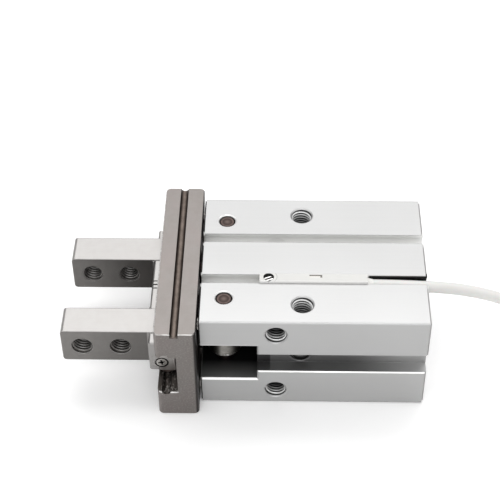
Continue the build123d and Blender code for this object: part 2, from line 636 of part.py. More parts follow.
with BuildPart() as cable_coil:
    # two turns on the surface, two on them, and the last part of one on the outside
    with BuildSketch(Plane.XZ.offset(-COIL_C[1])):
        with BuildLine():
            Polyline(
                (COIL_C[0] + 14.85, 1.35),
                (COIL_C[0] + 17.55, 1.35),
                (COIL_C[0] + 17.55, 6.75),
                (COIL_C[0] + 14.85, 4.05),
                close=True,
            )
        make_face()
        offset(amount=1.35)
    revolve(axis=Axis((COIL_C[0], COIL_C[1], 0), (0, 0, 1)))
done(cable_coil, "cable_coil")

# ---- round plug on the end of the lead, lying on the surface ----
PLUG_DIR = Vector(0.94, -0.34, 0).normalized()
PLUG0 = Vector(*TAIL[-1])


def plug_plane(at):
    return Plane(origin=PLUG0 + PLUG_DIR * at, x_dir=(0, 0, 1), z_dir=PLUG_DIR)


with BuildPart() as plug_body:
    with BuildSketch(plug_plane(0)):
        Circle(1.75)
    with BuildSketch(plug_plane(5.0)):
        Circle(3.9)
    loft()
    with BuildSketch(plug_plane(5.0)):
        Circle(4.6)
    extrude(amount=10.0)
done(plug_body, "plug_body")

with BuildPart() as plug_insert:
    with BuildSketch(plug_plane(15.0)):
        Circle(3.3)
    extrude(amount=9.5)
    with BuildSketch(plug_plane(24.5)):
        with Locations((2.9, 0)):
            Rectangle(1.2, 1.2)
    extrude(amount=-3.0, mode=Mode.SUBTRACT)
done(plug_insert, "plug_insert")

with BuildPart() as plug_nut:
    with BuildSketch(plug_plane(15.4)):
        Circle(5.0)
        Circle(3.65, mode=Mode.SUBTRACT)
    extrude(amount=7.6)
    chamfer(plug_nut.edges().filter_by(GeomType.CIRCLE).filter_by(lambda e: e.radius > 4.9), length=0.4)
    with BuildSketch(plug_plane(23.0)):
        Circle(4.0)
        Circle(3.65, mode=Mode.SUBTRACT)
    extrude(amount=5.0)
done(plug_nut, "plug_nut")

with BuildPart() as plug_pins:
    for y, z in ((-1.5, 0.9), (1.5, 0.9), (0.0, -1.5)):
        with BuildSketch(plug_plane(24.5)):
            with Locations((z, y)):
                Circle(0.5)
        extrude(amount=3.6)
done(plug_pins, "plug_pins")

print("lever arms", round(ARM_OUT, 3), round(ARM_IN, 3))
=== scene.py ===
import json
import math

import bmesh
import bpy
import numpy as np
from mathutils import Matrix, Vector


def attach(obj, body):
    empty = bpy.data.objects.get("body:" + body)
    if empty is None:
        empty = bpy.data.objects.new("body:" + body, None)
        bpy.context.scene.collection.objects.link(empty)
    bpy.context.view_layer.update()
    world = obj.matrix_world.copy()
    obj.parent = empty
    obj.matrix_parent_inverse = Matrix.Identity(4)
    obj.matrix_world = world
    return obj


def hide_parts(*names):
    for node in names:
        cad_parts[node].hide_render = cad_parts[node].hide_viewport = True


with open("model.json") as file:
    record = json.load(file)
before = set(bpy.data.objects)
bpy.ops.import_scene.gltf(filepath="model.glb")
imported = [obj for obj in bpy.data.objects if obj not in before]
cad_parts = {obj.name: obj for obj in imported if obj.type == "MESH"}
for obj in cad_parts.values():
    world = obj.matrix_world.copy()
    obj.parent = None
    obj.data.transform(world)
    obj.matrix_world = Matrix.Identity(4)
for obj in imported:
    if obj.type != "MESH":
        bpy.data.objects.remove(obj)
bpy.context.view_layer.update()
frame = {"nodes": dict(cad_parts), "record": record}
nodes = frame["nodes"]
MM = 0.001
scene = bpy.context.scene

# ---------------------------------------------------------------- camera
AZ, EL, ROLL = math.radians(-1.53), math.radians(43.78), math.radians(-0.59)
fwd = Vector((math.sin(AZ) * math.cos(EL), math.cos(AZ) * math.cos(EL), -math.sin(EL)))
right = Vector((math.cos(AZ), -math.sin(AZ), 0.0))
up = right.cross(fwd)
cam_x = right * math.cos(ROLL) + up * math.sin(ROLL)
cam_y = up * math.cos(ROLL) - right * math.sin(ROLL)
cam_data = bpy.data.cameras.new("camera")
cam_data.lens = 97.46
cam_data.sensor_width = 36.0
cam_data.clip_start, cam_data.clip_end = 0.01, 20.0
camera = bpy.data.objects.new("camera", cam_data)
scene.collection.objects.link(camera)
pose = Matrix((cam_x, cam_y, -fwd)).transposed().to_4x4()
pose.translation = Vector((0.00758, -0.23068, 0.2514))
camera.matrix_world = pose
scene.camera = camera
scene.view_settings.view_transform = "Standard"
scene.view_settings.look = "None"
scene.view_settings.exposure = 0.0
scene.view_settings.gamma = 1.0


# ---------------------------------------------------------------- material tools
class Paint:
    """A Principled material with short names for the nodes that it uses. Positions are in millimetres."""

    def __init__(self, name, **values):
        self.mat = bpy.data.materials.new(name)
        self.mat.use_nodes = True
        self.tree = self.mat.node_tree
        self.bsdf = next(n for n in self.tree.nodes if n.type == "BSDF_PRINCIPLED")
        for key, value in values.items():
            self.bsdf.inputs[key.replace("_", " ")].default_value = value
        self.place = self.node("ShaderNodeTexCoord").outputs["Object"]

    def node(self, kind, **props):
        n = self.tree.nodes.new(kind)
        for key, value in props.items():
            setattr(n, key, value)
        return n

    def link(self, a, b):
        self.tree.links.new(a, b)
        return b

    def put(self, socket, value):
        if isinstance(value, bpy.types.NodeSocket):
            self.tree.links.new(value, socket)
        else:
            socket.default_value = value

    def at(self, sx=1.0, sy=None, sz=None, turn=(0, 0, 0), shift=(0, 0, 0)):
        sy = sx if sy is None else sy
        sz = sx if sz is None else sz
        n = self.node("ShaderNodeMapping")
        n.inputs["Scale"].default_value = (sx * 1000, sy * 1000, sz * 1000)
        n.inputs["Rotation"].default_value = turn
        n.inputs["Location"].default_value = shift
        self.link(self.place, n.inputs["Vector"])
        return n.outputs["Vector"]

    def noise(self, vector, detail=3.0, rough=0.5, distort=0.0):
        n = self.node("ShaderNodeTexNoise")
        n.inputs["Scale"].default_value = 1.0
        n.inputs["Detail"].default_value = detail
        n.inputs["Roughness"].default_value = rough
        n.inputs["Distortion"].default_value = distort
        self.link(vector, n.inputs["Vector"])
        return n.outputs[0]

    def cells(self, vector, feature="F1", randomness=1.0):
        n = self.node("ShaderNodeTexVoronoi", feature=feature)
        n.inputs["Scale"].default_value = 1.0
        n.inputs["Randomness"].default_value = randomness
        self.link(vector, n.inputs["Vector"])
        return n.outputs[0]

    def remap(self, value, a, b, c, d, smooth=False):
        n = self.node("ShaderNodeMapRange")
        if smooth:
            n.interpolation_type = "SMOOTHSTEP"
        for i, v in enumerate((a, b, c, d), 1):
            n.inputs[i].default_value = v
        self.link(value, n.inputs[0])
        return n.outputs[0]

    def maths(self, op, a, b=0.0, clamp=False):
        n = self.node("ShaderNodeMath", operation=op, use_clamp=clamp)
        self.put(n.inputs[0], a)
        self.put(n.inputs[1], b)
        return n.outputs[0]

    def mix(self, fac, a, b, how="MIX"):
        n = self.node("ShaderNodeMix", data_type="RGBA", blend_type=how)
        self.put(n.inputs[0], fac)
        for socket, value in ((n.inputs[6], a), (n.inputs[7], b)):
            if isinstance(value, bpy.types.NodeSocket):
                self.tree.links.new(value, socket)
            else:
                socket.default_value = (*value, 1.0) if len(value) == 3 else value
        return n.outputs[2]

    def axis(self, which):
        n = self.node("ShaderNodeSeparateXYZ")
        self.link(self.place, n.inputs[0])
        return self.maths("MULTIPLY", n.outputs["XYZ".index(which)], 1000.0)

    def facing(self, which):
        """How much the surface faces along that axis of the object, -1 to 1."""
        n = self.node("ShaderNodeSeparateXYZ")
        self.link(self.tex_normal(), n.inputs[0])
        return n.outputs["XYZ".index(which)]

    def tex_normal(self):
        if not hasattr(self, "_normal"):
            self._normal = self.node("ShaderNodeTexCoord").outputs["Normal"]
        return self._normal

    def around(self, a, b, ca, cb):
        """Distance from an axis, in millimetres."""
        da, db = self.maths("SUBTRACT", a, ca), self.maths("SUBTRACT", b, cb)
        return self.maths("SQRT", self.maths("ADD", self.maths("MULTIPLY", da, da), self.maths("MULTIPLY", db, db)))

    def band(self, value, low, high, soft=0.1):
        """1 between low and high, in millimetres, 0 outside."""
        a = self.remap(value, low - soft, low + soft, 0.0, 1.0)
        b = self.remap(value, high - soft, high + soft, 1.0, 0.0)
        return self.maths("MULTIPLY", a, b)

    def edges(self, radius_mm, low=0.02, high=0.25):
        """The normal with edges rounded over that radius, and a mask that is 1 along those edges."""
        bevel = self.node("ShaderNodeBevel", samples=6)
        bevel.inputs["Radius"].default_value = radius_mm * MM
        geometry = self.node("ShaderNodeNewGeometry")
        dot = self.node("ShaderNodeVectorMath", operation="DOT_PRODUCT")
        self.link(bevel.outputs["Normal"], dot.inputs[0])
        self.link(geometry.outputs["Normal"], dot.inputs[1])
        off = self.maths("SUBTRACT", 1.0, dot.outputs["Value"])
        return bevel.outputs["Normal"], self.remap(off, low, high, 0.0, 1.0)

    def bump(self, height, depth_mm, normal=None, strength=1.0):
        n = self.node("ShaderNodeBump")
        n.inputs["Strength"].default_value = strength
        n.inputs["Distance"].default_value = depth_mm * MM
        self.link(height, n.inputs["Height"])
        if normal is not None:
            self.link(normal, n.inputs["Normal"])
        return n.outputs["Normal"]

    def done(self, color=None, roughness=None, normal=None, metallic=None):
        for key, value in (("Base Color", color), ("Roughness", roughness), ("Normal", normal), ("Metallic", metallic)):
            if value is not None:
                self.put(self.bsdf.inputs[key], value)
        return self.mat


def times(color, k):
    return tuple(c * k for c in color)


# ---------------------------------------------------------------- metals
def steel(name, tone, rough=0.34, streak="Y", streak_amount=0.06, mottle=0.05, edge=1.25, grain=0.6, wear_r=0.12, stain=None):
    """Machined steel: grinding streaks along one axis, mottling, bright worn edges."""
    m = Paint(name, Metallic=1.0)
    normal, worn = m.edges(wear_r)
    scales = {"X": (0.12, 7, 7), "Y": (7, 0.12, 7), "Z": (7, 7, 0.12)}[streak]
    lines = m.noise(m.at(*scales), 4, 0.6)
    fine = m.noise(m.at(9.0), 2, 0.6)
    broad = m.noise(m.at(0.22), 3, 0.55)
    clouds = m.noise(m.at(1.1), 4, 0.6)
    color = m.mix(m.remap(lines, 0.3, 0.7, 0, 1), times(tone, 1 - streak_amount), times(tone, 1 + streak_amount))
    color = m.mix(m.remap(clouds, 0.35, 0.75, 0, mottle * 6), color, times((tone[0], tone[1] * 0.985, tone[2] * 0.97), 0.82))
    if stain is not None:
        color = m.mix(m.remap(broad, 0.45, 0.7, 0, 0.35), color, stain)
    color = m.mix(m.maths("MULTIPLY", worn, 0.55), color, tuple(min(c * edge, 0.95) for c in tone))
    r = m.remap(lines, 0.25, 0.75, rough * 0.85, rough * 1.15)
    r = m.maths("ADD", r, m.remap(broad, 0.3, 0.7, -0.03, 0.04))
    height = m.maths("ADD", m.maths("MULTIPLY", lines, 0.6), m.maths("MULTIPLY", fine, grain))
    return m.done(color, r, m.bump(height, 0.006, normal))


def make_body_alu():
    m = Paint("body_alu", Metallic=0.82)
    normal, worn = m.edges(0.12)
    x, y, z = m.axis("X"), m.axis("Y"), m.axis("Z")
    nx, ny, nz = (m.maths("ABSOLUTE", m.facing(c)) for c in "XYZ")
    drawn = m.noise(m.at(0.03, 2.4, 2.4), 4, 0.6)  # faint lines along the extrusion
    broad = m.noise(m.at(0.05), 2, 0.5)
    blast = m.noise(m.at(7.0), 3, 0.65)
    specks = m.cells(m.at(2.2))
    tone = BODY_TONE
    color = m.mix(m.remap(drawn, 0.3, 0.7, 0, 1), times(tone, 0.985), times(tone, 1.015))
    color = m.mix(m.remap(broad, 0.35, 0.65, 0, 1), color, times(tone, 1.03))
    color = m.mix(m.remap(blast, 0.25, 0.8, 0.0, 0.10), color, times(tone, 0.8))
    color = m.mix(m.remap(specks, 0.0, 0.05, 0.25, 0.0), color, times(tone, 0.75))
    color = m.mix(m.maths("MULTIPLY", worn, 0.2), color, times(tone, 1.12))
    side_of = m.maths("ABSOLUTE", y)
    # painted shade: the sides darker than the top; painted light: the top a little lighter towards the near side
    color = m.mix(m.maths("MULTIPLY", m.remap(ny, 0.6, 0.9, 0, 1), 0.12), color, (0.0, 0.0, 0.0))
    color = m.mix(m.maths("MULTIPLY", m.remap(y, 0.0, -21.0, 0.0, 0.10), nz), color, (1.0, 1.0, 1.0))
    # painted highlight on the upper rounded long edges, painted shade on the lower ones
    rim = m.remap(m.maths("MULTIPLY", ny, nz), 0.12, 0.35, 0, 1)
    above = m.maths("MULTIPLY", rim, m.remap(z, 27.05, 27.12, 0, 1))
    below = m.maths("MULTIPLY", rim, m.remap(z, 0.48, 0.55, 1, 0))
    color = m.mix(m.maths("MULTIPLY", above, 0.25), color, (0.95, 0.95, 0.95))
    color = m.mix(m.maths("MULTIPLY", below, 0.6), color, (0.03, 0.03, 0.03))
    # painted shade in the gap between the body and the guide rail
    gap = m.maths("MULTIPLY", m.remap(x, -9.80, -9.72, 1.0, 0.0), m.remap(m.maths("ABSOLUTE", nz), 0.85, 0.95, 1.0, 0.0))
    color = m.mix(m.maths("MULTIPLY", gap, 0.9), color, (0.012, 0.011, 0.010))
    # painted highlight on the bevel round the rear end
    rear = m.maths("MULTIPLY", m.remap(x, 42.6, 42.68, 0, 1), m.remap(m.maths("MULTIPLY", nx, m.maths("MAXIMUM", ny, nz)), 0.3, 0.42, 0, 1))
    color = m.mix(m.maths("MULTIPLY", rear, 0.7), color, (0.92, 0.92, 0.91))
    # painted highlight on the bevels round the lever shaft holes
    for cy in (13.1, -13.1):
        d = m.around(x, y, -4.4, cy)
        ring = m.maths("MULTIPLY", m.band(d, 1.98, 2.30, 0.03), m.remap(z, 27.2, 27.3, 0, 1))
        color = m.mix(m.maths("MULTIPLY", ring, 0.85), color, (0.95, 0.95, 0.94))
    # painted shade on the walls of the tapped holes, below their mouths
    for ca, b in ((y, 15.1), (y, -15.1)):
        d = m.around(x, ca, 13.77, b)
        wall = m.maths("MULTIPLY", m.remap(d, 2.54, 2.58, 1, 0), m.remap(z, 27.1, 27.3, 1, 0))
        color = m.mix(m.maths("MULTIPLY", wall, 0.85), color, (0.04, 0.04, 0.04))
    for b in (23.2, 4.4):
        d = m.around(x, z, 7.7, b)
        wall = m.maths("MULTIPLY", m.remap(d, 2.54, 2.58, 1, 0), m.remap(side_of, 20.5, 20.7, 1, 0))
        color = m.mix(m.maths("MULTIPLY", wall, 0.9), color, (0.02, 0.02, 0.02))
    # painted highlight: thin light rim above the chamber's mouth
    rim = m.maths("MULTIPLY", m.band(z, 19.72, 20.1, 0.05), m.remap(x, 3.55, 3.65, 1, 0))
    color = m.mix(m.maths("MULTIPLY", m.maths("MULTIPLY", rim, ny), 0.22), color, (0.95, 0.95, 0.95))
    # painted highlight on the milled bevels of the side groove and of the chamber
    across = m.maths("ABSOLUTE", m.maths("SUBTRACT", z, 13.8))
    side = m.maths("ABSOLUTE", y)
    lit_bevels = m.maths("MULTIPLY", m.remap(m.maths("MULTIPLY", ny, nz), 0.3, 0.42, 0, 1), m.band(across, 2.5, 6.6, 0.05))
    lit_bevels = m.maths("MULTIPLY", lit_bevels, m.band(side, 20.2, 21.3, 0.05))
    low = m.remap(z, 13.0, 14.0, 1.0, 0.35)
    chamber = m.remap(x, 3.7, 3.8, 0.62, 1.0)
    color = m.mix(m.maths("MULTIPLY", m.maths("MULTIPLY", lit_bevels, low), chamber), color, (0.93, 0.93, 0.92))
    # painted light inside the sensor grooves
    groove = m.maths("MULTIPLY", m.band(side, 4.6, 9.3, 0.1), m.band(m.maths("ABSOLUTE", m.maths("SUBTRACT", z, 13.8)), 8.8, 13.72, 0.04))
    color = m.mix(m.maths("MULTIPLY", groove, 0.86), color, (0.92, 0.92, 0.91))
    # painted shade inside the side grooves, lighter towards the rear end
    slot = m.maths("MULTIPLY", m.band(across, -1.0, 2.86, 0.04), m.band(side, 17.0, 20.75, 0.05))
    slot = m.maths("MULTIPLY", slot, m.remap(x, 3.2, 3.4, 0, 1))
    slot = m.maths("MULTIPLY", slot, m.remap(x, 22.0, 42.0, 0.70, 0.08, smooth=True))
    color = m.mix(slot, color, (0.045, 0.045, 0.046))
    # painted shade on the far lip of the groove beside the lead
    lip = m.maths("MULTIPLY", m.band(x, 29.4, 43.5, 0.1), m.band(y, -6.4, -4.4, 0.05))
    lip = m.maths("MULTIPLY", lip, m.band(z, 22.0, 27.45, 0.04))
    color = m.mix(m.maths("MULTIPLY", lip, 0.97), color, (0.01, 0.01, 0.01))
    # painted shade inside the machined lever chamber and the holes behind it, lighter towards the side mouths
    inside = m.maths("MULTIPLY", m.band(x, -9.9, 6.4, 0.12), m.band(z, 7.6, 20.0, 0.12))
    inside = m.maths("MULTIPLY", inside, m.band(side, -1.0, 20.45, 0.12))
    near_mouth = m.remap(side, 15.0, 20.4, 0.985, 0.36)
    color = m.mix(m.maths("MULTIPLY", inside, near_mouth), color, (0.012, 0.012, 0.013))
    r = m.remap(blast, 0.2, 0.8, 0.42, 0.52)
    r = m.maths("SUBTRACT", r, m.maths("MULTIPLY", lit_bevels, 0.12))
    height = m.maths("ADD", m.maths("MULTIPLY", drawn, 0.7), m.maths("MULTIPLY", blast, 0.8))
    return m.done(color, r, m.bump(height, 0.007, normal))


def make_guide_steel():
    m = Paint("guide_steel", Metallic=1.0)
    normal, worn = m.edges(0.13)
    x, y, z = m.axis("X"), m.axis("Y"), m.axis("Z")
    nx, ny, nz = (m.maths("ABSOLUTE", m.facing(c)) for c in "XYZ")
    tone = GUIDE_TONE
    ground = m.noise(m.at(7.5, 0.10, 7.5), 4, 0.6)
    cross = m.noise(m.at(0.5, 3.0, 3.0), 3, 0.6)
    clouds = m.noise(m.at(0.45), 4, 0.6)
    tint = m.noise(m.at(0.12, 0.12, 0.12, shift=(3.1, 1.7, 0.4)), 3, 0.55)
    grain = m.noise(m.at(9.0), 3, 0.7)
    color = m.mix(m.remap(ground, 0.3, 0.7, 0, 1), times(tone, 0.94), times(tone, 1.06))
    color = m.mix(m.remap(clouds, 0.35, 0.7, 0, 0.55), color, times((tone[0], tone[1] * 0.97, tone[2] * 0.95), 0.88))
    color = m.mix(m.remap(tint, 0.42, 0.62, 0, 0.5), color, (tone[0] * 1.04, tone[1] * 0.98, tone[2] * 0.99))
    color = m.mix(m.remap(cross, 0.55, 0.8, 0, 0.35), color, times(tone, 1.12))
    # the line groove on top is browner, blotched, and darker at its lips
    ax = m.maths("ABSOLUTE", m.maths("ADD", x, 15.35))
    groove = m.maths("MULTIPLY", m.band(ax, -1.0, 0.96, 0.03), m.band(z, 26.4, 27.56, 0.03))
    blotch = m.mix(m.remap(clouds, 0.35, 0.65, 0, 1), times(GROOVE_TONE, 0.8), times(GROOVE_TONE, 1.2))
    blotch = m.mix(m.remap(ax, 0.5, 0.8, 0, 0.9), blotch, times(GROOVE_TONE, 0.22))
    color = m.mix(groove, color, blotch)
    # painted shade in the finger channel
    channel = m.maths("MULTIPLY", m.band(x, -19.9, -14.9, 0.1), m.band(z, 7.0, 20.6, 0.1))
    channel = m.maths("MULTIPLY", channel, m.maths("SUBTRACT", 1.0, m.remap(ny, 0.5, 0.9, 0, 1)))
    color = m.mix(m.maths("MULTIPLY", channel, m.remap(clouds, 0.2, 0.7, 0.55, 0.85)), color, (0.09, 0.08, 0.072))
    # bright worn edges, and a painted highlight on the bevels at the top
    bevel = m.remap(m.maths("MAXIMUM", m.maths("MULTIPLY", ny, nz), m.maths("MULTIPLY", nx, nz)), 0.3, 0.45, 0, 1)
    bevel = m.maths("MULTIPLY", bevel, m.remap(z, 27.3, 27.38, 0, 1))
    color = m.mix(m.maths("MULTIPLY", worn, m.remap(clouds, 0.3, 0.7, 0.25, 0.7)), color, times(tone, 1.7))
    color = m.mix(m.maths("MULTIPLY", bevel, m.remap(cross, 0.35, 0.6, 0.15, 0.8)), color, (0.86, 0.85, 0.83))
    # end faces: darker, with fine pale scuffs
    end = m.remap(ny, 0.8, 0.95, 0, 1)
    scuff = m.noise(m.at(2.4), 5, 0.7)
    color = m.mix(m.maths("MULTIPLY", end, 0.24), color, (0.02, 0.018, 0.016))
    color = m.mix(m.maths("MULTIPLY", end, m.remap(scuff, 0.52, 0.72, 0.0, 0.5)), color, times(tone, 1.75))
    color = m.mix(m.maths("MULTIPLY", end, m.remap(scuff, 0.46, 0.30, 0.0, 0.4)), color, times(tone, 0.5))
    # painted highlight on the lower lip of the channel
    lip = m.maths("MULTIPLY", m.band(z, 7.55, 7.98, 0.04), m.band(x, -20.0, -15.0, 0.06))
    lip = m.maths("MULTIPLY", lip, m.remap(m.maths("ABSOLUTE", y), 24.6, 24.75, 0.0, 1.0))
    color = m.mix(m.maths("MULTIPLY", lip, m.remap(cross, 0.4, 0.55, 0.35, 1.0)), color, (0.95, 0.94, 0.92))
    # painted highlights: glints on the lower ball track
    glint = m.noise(m.at(1.5, 0.7, 1.5), 4, 0.7)
    painted_light_mask = m.maths("MULTIPLY", m.maths("MULTIPLY", m.band(x, -19.2, -15.0, 0.1), m.band(z, 6.4, 13.0, 0.1)), m.remap(ny, 0.5, 0.9, 1, 0))
    color = m.mix(m.maths("MULTIPLY", painted_light_mask, m.remap(glint, 0.54, 0.62, 0.0, 0.8)), color, (0.75, 0.73, 0.70))
    # painted shade, near black, in the gap towards the body
    behind = m.maths("MULTIPLY", m.remap(m.facing("X"), 0.35, 0.6, 0, 1), m.remap(x, -11.4, -11.2, 0, 1))
    color = m.mix(m.maths("MULTIPLY", behind, 0.93), color, (0.012, 0.010, 0.009))
    r = m.remap(ground, 0.25, 0.75, 0.33, 0.45)
    height = m.maths("ADD", m.maths("MULTIPLY", ground, 0.7), m.maths("MULTIPLY", grain, 0.9))
    return m.done(color, r, m.bump(height, 0.010, normal))


def make_finger_steel():
    """Steel fingers with painted shade: lighter on the flat faces, darker on the milled sides."""
    m = Paint("finger_steel", Metallic=1.0)
    normal, worn = m.edges(0.12)
    x, y, z = m.axis("X"), m.axis("Y"), m.axis("Z")
    ny, nz = m.maths("ABSOLUTE", m.facing("Y")), m.maths("ABSOLUTE", m.facing("Z"))
    tone, dark = FINGER_TONE, FINGER_SIDE
    lines = m.noise(m.at(0.14, 6.5, 6.5), 4, 0.6)
    clouds = m.noise(m.at(0.5), 4, 0.6)
    fine = m.noise(m.at(9.0), 3, 0.65)
    color = m.mix(m.remap(lines, 0.3, 0.7, 0, 1), times(tone, 0.97), times(tone, 1.03))
    color = m.mix(m.remap(clouds, 0.4, 0.75, 0, 0.4), color, times((tone[0], tone[1] * 0.985, tone[2] * 0.97), 0.9))
    side = m.mix(m.remap(fine, 0.25, 0.8, 0, 1), times(dark, 0.92), times(dark, 1.12))
    side = m.mix(m.remap(clouds, 0.35, 0.7, 0, 0.5), side, times(dark, 0.82))
    # painted shade: browner and darker towards the base, more on the inner faces
    inner = m.remap(m.maths("ABSOLUTE", y), 8.6, 9.0, 1.0, 0.0)
    base_shade = m.maths("ADD", 0.36, m.maths("MULTIPLY", inner, 0.36))
    base_shade = m.maths("MULTIPLY", m.remap(x, -40.0, -23.0, 0.0, 1.0, smooth=True), base_shade)
    side = m.mix(m.maths("MULTIPLY", inner, 0.28), side, (0.06, 0.056, 0.053))
    side = m.mix(base_shade, side, (0.035, 0.031, 0.029))
    stem = m.remap(x, -22.6, -22.4, 1.0, 0.25)
    color = m.mix(m.maths("MULTIPLY", m.remap(ny, 0.45, 0.8, 0, 1), stem), color, side)
    # painted shade on the part inside the guide's channel
    channel = m.maths("MULTIPLY", m.remap(x, -20.1, -19.9, 0.0, 1.0), m.remap(ny, 0.5, 0.9, 1.0, 0.3))
    color = m.mix(m.maths("MULTIPLY", channel, 0.7), color, (0.12, 0.105, 0.095))
    color = m.mix(m.maths("MULTIPLY", worn, m.remap(clouds, 0.3, 0.7, 0.35, 0.85)), color, (0.72, 0.71, 0.69))
    r = m.remap(lines, 0.25, 0.75, 0.30, 0.38)
    r = m.maths("ADD", r, m.remap(ny, 0.4, 0.9, 0.0, 0.08))
    height = m.maths("ADD", m.maths("MULTIPLY", lines, 0.6), m.maths("MULTIPLY", fine, 0.8))
    return m.done(color, r, m.bump(height, 0.006, normal))


def make_plate_steel():
    """The stop plates: painted light where they lie flush, like the finger's end; painted shade in brown where they
    reach down to the ball tracks.
    """
    m = Paint("plate_steel", Metallic=1.0)
    normal, worn = m.edges(0.07)
    x, y, z = m.axis("X"), m.axis("Y"), m.axis("Z")
    across = m.maths("ABSOLUTE", m.maths("SUBTRACT", z, 13.8))
    clouds = m.noise(m.at(0.9), 4, 0.6)
    fine = m.noise(m.at(8.0), 3, 0.65)
    color = m.mix(m.remap(clouds, 0.3, 0.7, 0, 1), times(GUIDE_TONE, 0.85), times(GUIDE_TONE, 1.1))
    brown = m.mix(m.remap(clouds, 0.35, 0.65, 0, 1), (0.10, 0.078, 0.072), (0.24, 0.19, 0.175))
    color = m.mix(m.remap(across, 4.45, 4.65, 0.0, 1.0), color, brown)
    flush = m.remap(across, 4.45, 4.65, 1.0, 0.0)
    color = m.mix(m.maths("MULTIPLY", flush, 0.35), color, (0.72, 0.70, 0.68))
    color = m.mix(m.maths("MULTIPLY", worn, 0.6), color, (0.55, 0.52, 0.5))
    # painted shade round the stop screws' heads
    for side in (1, -1):
        d = m.around(x, z, -19.13, 13.8 + side * 1.9)
        on = m.remap(m.maths("MULTIPLY", y, float(side)), 0.0, 0.1, 0, 1)
        color = m.mix(m.maths("MULTIPLY", on, m.band(d, 1.2, 1.66, 0.04)), color, (0.012, 0.010, 0.010))
    return m.done(color, m.remap(fine, 0.3, 0.7, 0.32, 0.42), m.bump(fine, 0.006, normal))


def make_screw_steel():
    """Stop screws: painted shade in their cross recesses, round their rims and below their heads; the sensor's screw: a
    light slot with painted highlights beside it, between lands painted dark as shade.
    """
    m = Paint("screw_steel", Metallic=1.0)
    normal, worn = m.edges(0.07)
    x, y, z = m.axis("X"), m.axis("Y"), m.axis("Z")
    lines = m.noise(m.at(7, 7, 0.12), 4, 0.6)
    clouds = m.noise(m.at(1.4), 4, 0.6)
    tone = (0.42, 0.405, 0.385)
    color = m.mix(m.remap(lines, 0.3, 0.7, 0, 1), times(tone, 0.94), times(tone, 1.06))
    color = m.mix(m.remap(clouds, 0.4, 0.7, 0, 0.5), color, times(tone, 0.75))
    color = m.mix(m.maths("MULTIPLY", worn, 0.5), color, (0.7, 0.68, 0.65))
    # painted shade round the stop screws' rims and below their heads
    stop = m.maths("MULTIPLY", m.remap(x, -18.0, -17.5, 1, 0), m.remap(m.maths("ABSOLUTE", y), 10.0, 10.5, 0, 1))
    deep = m.remap(m.maths("ABSOLUTE", y), 19.24, 19.30, 1.0, 0.0)
    for side in (1, -1):
        d = m.around(x, z, -19.13, 13.8 + side * 1.9)
        on = m.remap(m.maths("MULTIPLY", y, float(side)), 0.0, 0.1, 0, 1)
        edge = m.maths("MULTIPLY", m.remap(d, 1.22, 1.30, 0, 1), on)
        color = m.mix(m.maths("MULTIPLY", stop, edge), color, (0.012, 0.010, 0.010))
    color = m.mix(m.maths("MULTIPLY", stop, m.maths("MULTIPLY", deep, 0.97)), color, (0.012, 0.010, 0.010))
    # the sensor's screw: lands painted dark as shade, painted highlights beside the slot
    clamp = m.maths("MULTIPLY", m.band(x, 4.4, 7.5, 0.05), m.band(y, -8.5, -5.4, 0.05))
    land = m.maths("MULTIPLY", clamp, m.remap(z, 27.3, 27.4, 0, 1))
    color = m.mix(m.maths("MULTIPLY", land, 0.97), color, (0.03, 0.029, 0.028))
    off = m.maths("SUBTRACT", m.maths("MULTIPLY", m.maths("ADD", y, 6.95), 0.9135), m.maths("MULTIPLY", m.maths("SUBTRACT", x, 5.9), 0.4067))
    beside = m.maths("MULTIPLY", m.band(m.maths("ABSOLUTE", off), 0.26, 0.52, 0.03), m.remap(m.around(x, y, 5.9, -6.95), 0.95, 1.02, 1, 0))
    color = m.mix(m.maths("MULTIPLY", land, beside), color, (0.93, 0.92, 0.90))
    return m.done(color, 0.34, m.bump(lines, 0.006, normal))


def make_pin_steel():
    """Lever shafts and cross pins: nearly black, with turned rings on the ends, painted shade round the lever shafts'
    rims and a painted highlight at their centres.
    """
    m = Paint("pin_steel", Metallic=1.0)
    normal, worn = m.edges(0.1)
    x, y, z = m.axis("X"), m.axis("Y"), m.axis("Z")
    lines = m.noise(m.at(7, 7, 0.12), 4, 0.6)
    clouds = m.noise(m.at(1.6), 4, 0.6)
    tone = (0.058, 0.043, 0.039)
    color = m.mix(m.remap(lines, 0.3, 0.7, 0, 1), times(tone, 0.85), times(tone, 1.15))
    nz = m.maths("ABSOLUTE", m.facing("Z"))
    for cy in (13.1, -13.1):
        d = m.around(x, y, -4.4, cy)
        here = m.maths("MULTIPLY", m.remap(d, 2.3, 2.4, 1, 0), m.remap(nz, 0.5, 0.9, 0, 1))
        # painted shade round the rim of each shaft end
        outer = m.maths("MULTIPLY", here, m.remap(d, 1.62, 1.70, 0, 1))
        color = m.mix(m.maths("MULTIPLY", outer, 0.9), color, (0.012, 0.009, 0.008))
        light = m.maths("MULTIPLY", here, m.band(d, 1.28, 1.5, 0.06))
        color = m.mix(m.maths("MULTIPLY", light, m.remap(clouds, 0.35, 0.6, 0.1, 0.6)), color, (0.14, 0.105, 0.095))
        dark = m.maths("MULTIPLY", here, m.band(d, 0.8, 1.15, 0.1))
        color = m.mix(m.maths("MULTIPLY", dark, 0.7), color, (0.030, 0.022, 0.020))
        # painted highlight at the centre of each shaft end
        dot = m.maths("MULTIPLY", here, m.remap(d, 0.2, 0.65, 1, 0))
        color = m.mix(m.maths("MULTIPLY", dot, 0.5), color, (0.13, 0.10, 0.09))
    color = m.mix(m.maths("MULTIPLY", worn, 0.3), color, (0.30, 0.26, 0.24))
    return m.done(color, 0.34, m.bump(lines, 0.006, normal))


